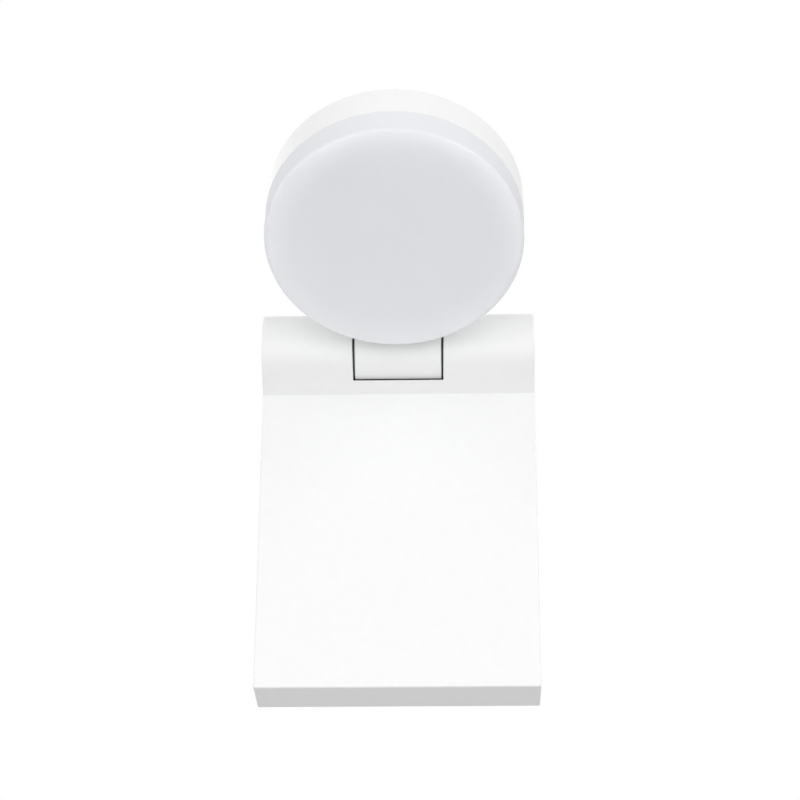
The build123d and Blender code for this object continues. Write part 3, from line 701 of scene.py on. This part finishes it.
def phosphor():
    """Silicone filled with yellow phosphor powder, which shows as fine specks."""
    material, space = start_material("phosphor_in_silicone")
    speck = add_node(
        material, "TexNoise", {"Vector": space, "Scale": 1 / (speck_size * MM), "Detail": 1.0}
    )
    yellow = add_node(material, "ValToRGB", {"Fac": speck.outputs[0]})
    yellow.color_ramp.elements[0].color = linear("#E5C21F")
    yellow.color_ramp.elements[1].color = linear("#F3DC5C")
    return end_material(
        material, {"Base Color": yellow.outputs[0], "Roughness": 0.3, "IOR": 1.45}
    )


# %% [markdown]
# ## A finish for every piece
# Each finish is made once and goes to every piece that has it. The numbers after the colours
# are the roughness, and then the size and depth of the mould's grain or the pitch of the
# turned rings in millimetres. Nylon's last number is its share of light that enters.

# %% Give the pieces their finishes
white_coat = powder_coat()
opal = opal_acrylic()
zinc = zinc_sheet()
stainless = turned_metal("turned_stainless_steel", "#C9C7C3", 0.28, 0.25)
screw_zinc = plated_metal("zinc_plated_screw_steel", "#B4B9BF", "#CDD1D5", 0.3)
nylon = moulded_plastic("moulded_natural_nylon", "#E4E0D3", 0.42, 0.8, 0.004, 0.4)
case_plastic = moulded_plastic("spark_textured_polycarbonate", "#DCDCDA", 0.55, 0.35, 0.02)
black_rubber = moulded_rubber("moulded_black_rubber", "#0F0F10", "#18181A", 0.78)
black_silicone = moulded_rubber("extruded_black_silicone", "#19191A", "#232324", 0.55)

finishes = {
    white_coat: ["base_housing", "head_housing"],
    opal: ["diffuser"],
    sponge_rubber(): ["wall_gasket"],
    zinc: ["wall_bracket"],
    stainless: ["side_screws", "pivot_tube", "pivot_nuts", "knuckle_grub"],
    plated_metal("hardened_spring_steel", "#6F7073", "#8A8B8E", 0.35): ["disc_springs"],
    screw_zinc: [
        "terminal_screws", "terminal_fixing", "earth_screw", "driver_screws", "board_screws",
    ],
    plated_metal("extruded_brass", "#C9A14A", "#DDB963", 0.3): ["terminal_clamps"],
    plated_metal("hot_tinned_copper", "#BDB9B0", "#D0CCC4", 0.38): ["earth_lug"],
    nylon: ["terminal_block", "board_connector"],
    case_plastic: ["driver_case", "driver_lid"],
    moulded_plastic("extruded_brown_pvc", "#6B3A1E", 0.42, 1.5, 0.01): ["lead_live"],
    moulded_plastic("extruded_blue_pvc", "#1F57B8", 0.42, 1.5, 0.01): ["lead_neutral"],
    earth_insulation(): ["lead_earth"],
    black_silicone: ["driver_lead", "head_lead"],
    # The lip strip's black rubber partly stands in as painted shade in the crevice under the
    # knuckle.
    black_rubber: ["cable_grommet", "knuckle_rings", "lip_strip"],
    # The wear rings' black acetal partly stands in as painted shade in the knuckle's side gaps.
    moulded_plastic("turned_black_acetal", "#0E0E0F", 0.5, 0.5, 0.004): [
        "pivot_bushes", "wear_rings",
    ],
    moulded_rubber("filled_silicone_pad", "#8A8F96", "#9A9FA6", 0.75): ["thermal_pad"],
    moulded_plastic("white_solder_mask", "#F1F2F0", 0.3, 1.2, 0.003): ["led_board"],
    phosphor(): ["led_chips"],
    moulded_plastic("matt_white_film", "#F6F6F6", 0.7, 0.6, 0.003): ["reflector"],
    moulded_rubber("extruded_clear_silicone", "#D3D3D1", "#DEDEDC", 0.4): ["diffuser_seal"],
}
for finish, names in finishes.items():
    for name in names:
        nodes[name].material_slots[0].material = finish
finished = [name for names in finishes.values() for name in names]
print(len(finished), "pieces have a finish, and without one:", sorted(set(nodes) - set(finished)))

# %% [markdown]
# ## Screws with a drive and a thread
# In the solid model a screw is a plain pin under a disc. A real one is cold headed from wire:
# a die presses the pan head, a six-lobed punch leaves the drive, and the thread is rolled on
# last. The same order works here. A cylinder's ends are extruded and scaled into the tip and
# the head, a lobed punch is cut out of the head, and a triangle wound round the shank is
# joined on. Each size is made once, standing at the origin with its head up, and then copied.

# %% Pick parts of a mesh, and apply a modifier
def choose(piece, kind, wanted):
    """Selects just the vertices, edges or faces that pass the test, in edit mode."""
    bpy.ops.mesh.select_mode(type=kind)
    bpy.ops.mesh.select_all(action="DESELECT")
    mesh = bmesh.from_edit_mesh(piece.data)
    for part in {"VERT": mesh.verts, "EDGE": mesh.edges, "FACE": mesh.faces}[kind]:
        if wanted(part):
            part.select_set(True)
    mesh.select_flush_mode()
    bmesh.update_edit_mesh(piece.data)


def apply_modifier(piece, kind, **settings):
    """Adds one modifier with these settings to a piece and applies it at once."""
    modifier = piece.modifiers.new(kind.lower(), kind)
    for name, value in settings.items():
        setattr(modifier, name, value)
    bpy.context.view_layer.objects.active = piece
    bpy.ops.object.modifier_apply(modifier=modifier.name)


# %% Press the blank
wire_sides = 48
tip_length = 0.6
tip_share = 0.6
straight_share = 0.5
crown_share = 0.74
corner_round = 0.28
axis_point = (0, 0, 0)


def press_blank(head_radius, head_height, core_radius, shank_length):
    """A cold-headed blank: a shank with a tapered end below the origin, a pan head above."""
    straight = shank_length - tip_length
    bpy.ops.object.select_all(action="DESELECT")
    bpy.ops.mesh.primitive_cylinder_add(
        vertices=wire_sides,
        radius=core_radius * MM,
        depth=straight * MM,
        location=(0, 0, -straight / 2 * MM),
    )
    blank = bpy.context.active_object
    bpy.ops.object.transform_apply()
    bpy.ops.object.mode_set(mode="EDIT")
    choose(blank, "FACE", lambda face: face.normal.z < -0.9)
    bpy.ops.mesh.extrude_region_move(TRANSFORM_OT_translate={"value": (0, 0, -tip_length * MM)})
    bpy.ops.transform.resize(value=(tip_share, tip_share, 1), center_override=axis_point)
    choose(blank, "FACE", lambda face: face.normal.z > 0.9)
    bpy.ops.mesh.extrude_region_move()
    widen = head_radius / core_radius
    bpy.ops.transform.resize(value=(widen, widen, 1), center_override=axis_point)
    for share in (straight_share, 1 - straight_share):
        bpy.ops.mesh.extrude_region_move(
            TRANSFORM_OT_translate={"value": (0, 0, share * head_height * MM)}
        )
    bpy.ops.transform.resize(value=(crown_share, crown_share, 1), center_override=axis_point)
    corner_heights = (straight_share * head_height * MM, head_height * MM)
    choose(
        blank,
        "EDGE",
        lambda edge: any(
            all(abs(end.co.z - height) < 0.01 * MM for end in edge.verts)
            for height in corner_heights
        ),
    )
    bpy.ops.mesh.bevel(offset=corner_round * MM, segments=4, affect="EDGES")
    bpy.ops.object.mode_set(mode="OBJECT")
    return blank


# %% Punch the drive
lobe_angle = 60
valley_pulls = ((19, 0.93), (12, 0.9), (4, 0.93))


def from_valley(point):
    """The angle in degrees from a point to the nearest valley between two lobes."""
    return abs(degrees(atan2(point.y, point.x)) % lobe_angle - lobe_angle / 2)


def punch_drive(blank, head_height, drive_radius, drive_depth):
    """Takes a six-lobed socket out of the head. Each valley is pulled in over its width."""
    bpy.ops.object.select_all(action="DESELECT")
    bpy.ops.mesh.primitive_cylinder_add(
        vertices=wire_sides,
        radius=drive_radius * MM,
        depth=2 * drive_depth * MM,
        location=(0, 0, head_height * MM),
    )
    punch = bpy.context.active_object
    bpy.ops.object.transform_apply()
    bpy.ops.object.mode_set(mode="EDIT")
    for half_width, pull in valley_pulls:
        choose(punch, "VERT", lambda vertex: from_valley(vertex.co) < half_width)
        bpy.ops.transform.resize(value=(pull, pull, 1), center_override=axis_point)
    bpy.ops.object.mode_set(mode="OBJECT")
    apply_modifier(blank, "BOOLEAN", operation="DIFFERENCE", solver="EXACT", object=punch)
    bpy.data.objects.remove(punch)


# %% Roll the thread
ring_steps = 32
sunk = 0.05
run_out_rings = (8, 5, 2)
sunk_end = 0.95


# A triangle is one and a half times as high as the radius of the circle round it.
def roll_thread(blank, crest_radius, core_radius, shank_length, pitch):
    """Winds a triangle up round the shank, runs both ends out, and joins it to the blank."""
    reach = (crest_radius - core_radius + sunk) / 1.5
    first = shank_length - tip_length - reach
    turns = int((first - reach) / pitch)
    bpy.ops.object.select_all(action="DESELECT")
    bpy.ops.mesh.primitive_circle_add(
        vertices=3,
        radius=reach * MM,
        fill_type="NOTHING",
        location=((crest_radius - reach) * MM, 0, -first * MM),
        rotation=(pi / 2, pi / 2, 0),
    )
    ridge = bpy.context.active_object
    bpy.ops.object.transform_apply()
    apply_modifier(
        ridge,
        "SCREW",
        steps=ring_steps,
        render_steps=ring_steps,
        iterations=turns,
        screw_offset=pitch * MM,
    )
    last_ring = len(ridge.data.vertices) // 3 - 1
    pull = (sunk_end * core_radius / crest_radius) ** (1 / len(run_out_rings))
    bpy.ops.object.mode_set(mode="EDIT")
    for rings in run_out_rings:
        choose(
            ridge,
            "VERT",
            lambda vertex: min(vertex.index // 3, last_ring - vertex.index // 3) < rings,
        )
        bpy.ops.transform.resize(value=(pull, pull, 1), center_override=axis_point)
    bpy.ops.mesh.select_all(action="SELECT")
    bpy.ops.mesh.fill_holes(sides=3)
    bpy.ops.mesh.select_all(action="SELECT")
    bpy.ops.mesh.normals_make_consistent(inside=False)
    bpy.ops.object.mode_set(mode="OBJECT")
    apply_modifier(blank, "BOOLEAN", operation="UNION", solver="EXACT", object=ridge)
    bpy.data.objects.remove(ridge)
    return turns


# %% Make a screw
drive_radius_share = 0.5
drive_depth_share = 0.6
crease = radians(35)


def make_screw(head_radius, head_height, crest_radius, core_radius, shank_length, pitch):
    """One screw at the origin: pressed, punched, threaded, and smooth apart from its edges."""
    blank = press_blank(head_radius, head_height, core_radius, shank_length)
    drive_radius, drive_depth = drive_radius_share * head_radius, drive_depth_share * head_height
    punch_drive(blank, head_height, drive_radius, drive_depth)
    turns = roll_thread(blank, crest_radius, core_radius, shank_length, pitch)
    bpy.ops.object.select_all(action="DESELECT")
    blank.select_set(True)
    bpy.context.view_layer.objects.active = blank
    bpy.ops.object.shade_smooth_by_angle(angle=crease)
    print("screw with", turns, "turns of thread and", len(blank.data.polygons), "faces")
    return blank


# %% Set copies of a screw
def set_screws(node, body, finish, screw, places):
    """Copies a screw to places, each an underside and a way to face, as one piece."""
    copies = []
    for underside, facing in places:
        copy = screw.copy()
        copy.data = screw.data.copy()
        bpy.context.scene.collection.objects.link(copy)
        turn = Vector(facing).to_track_quat("Z", "Y").to_matrix().to_4x4()
        copy.matrix_world = Matrix.Translation(Vector(underside) * MM) @ turn
        copies.append(copy)
    bpy.ops.object.select_all(action="DESELECT")
    for copy in copies:
        copy.select_set(True)
    bpy.context.view_layer.objects.active = copies[0]
    bpy.ops.object.transform_apply()
    if len(copies) > 1:
        bpy.ops.object.join()
    piece = bpy.context.active_object
    piece.name = node + "_threaded"
    piece.data.materials.append(finish)
    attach(piece, body)
    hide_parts(node)
    print(piece.name, "rides on", body, "in", len(places), "places")


# %% [markdown]
# ## Every screw in its place
# Head and shank have the sizes of the pins in the solid model, in millimetres, and each place
# is the middle of a head's underside with the way the head faces. The side screws are machine
# screws with a fine thread, the earth screw too, and the others cut their own coarse thread in
# plastic or cast aluminium.

# %% Screws of the base
machine_screw = make_screw(
    head_radius=3.6,
    head_height=2.1,
    crest_radius=2.0,
    core_radius=1.57,
    shank_length=7.1,
    pitch=0.7,
)
side_places = [((side * 52.6, -9, 0), (side, 0, 0)) for side in (-1, 1)]
set_screws("side_screws", "base", stainless, machine_screw, side_places)

to_wall = (0, 1, 0)
coarse = {"head_radius": 2.8, "crest_radius": 1.25, "core_radius": 0.9, "pitch": 1.1}
case_screw = make_screw(head_height=2.0, shank_length=5.7, **coarse)
case_places = [((side * 38, -15, 32), to_wall) for side in (-1, 1)]
set_screws("driver_screws", "base", screw_zinc, case_screw, case_places)

block_screw = make_screw(head_height=2.0, shank_length=6.0, **coarse)
block_places = [((0, -14.5, -48), to_wall)]
set_screws("terminal_fixing", "base", screw_zinc, block_screw, block_places)

lug_screw = make_screw(
    head_radius=3.4,
    head_height=2.4,
    crest_radius=1.65,
    core_radius=1.3,
    shank_length=4.6,
    pitch=0.6,
)
lug_places = [((38, -15.7, -22), to_wall)]
set_screws("earth_screw", "base", screw_zinc, lug_screw, lug_places)

# %% Screws of the light board
board_depth = 7.5
screw_circle = 36
board_middle = head_middle - board_depth * head_facing
board_places = []
for angle in (90, 210, 330):
    outward = Vector((cos(radians(angle)), 0, 0)) + sin(radians(angle)) * head_upward
    board_places.append((board_middle + screw_circle * outward, head_facing))
board_screw = make_screw(head_height=1.8, shank_length=5.0, **coarse)
set_screws("board_screws", "head", screw_zinc, board_screw, board_places)
for screw in (machine_screw, case_screw, block_screw, lug_screw, board_screw):
    bpy.data.objects.remove(screw)
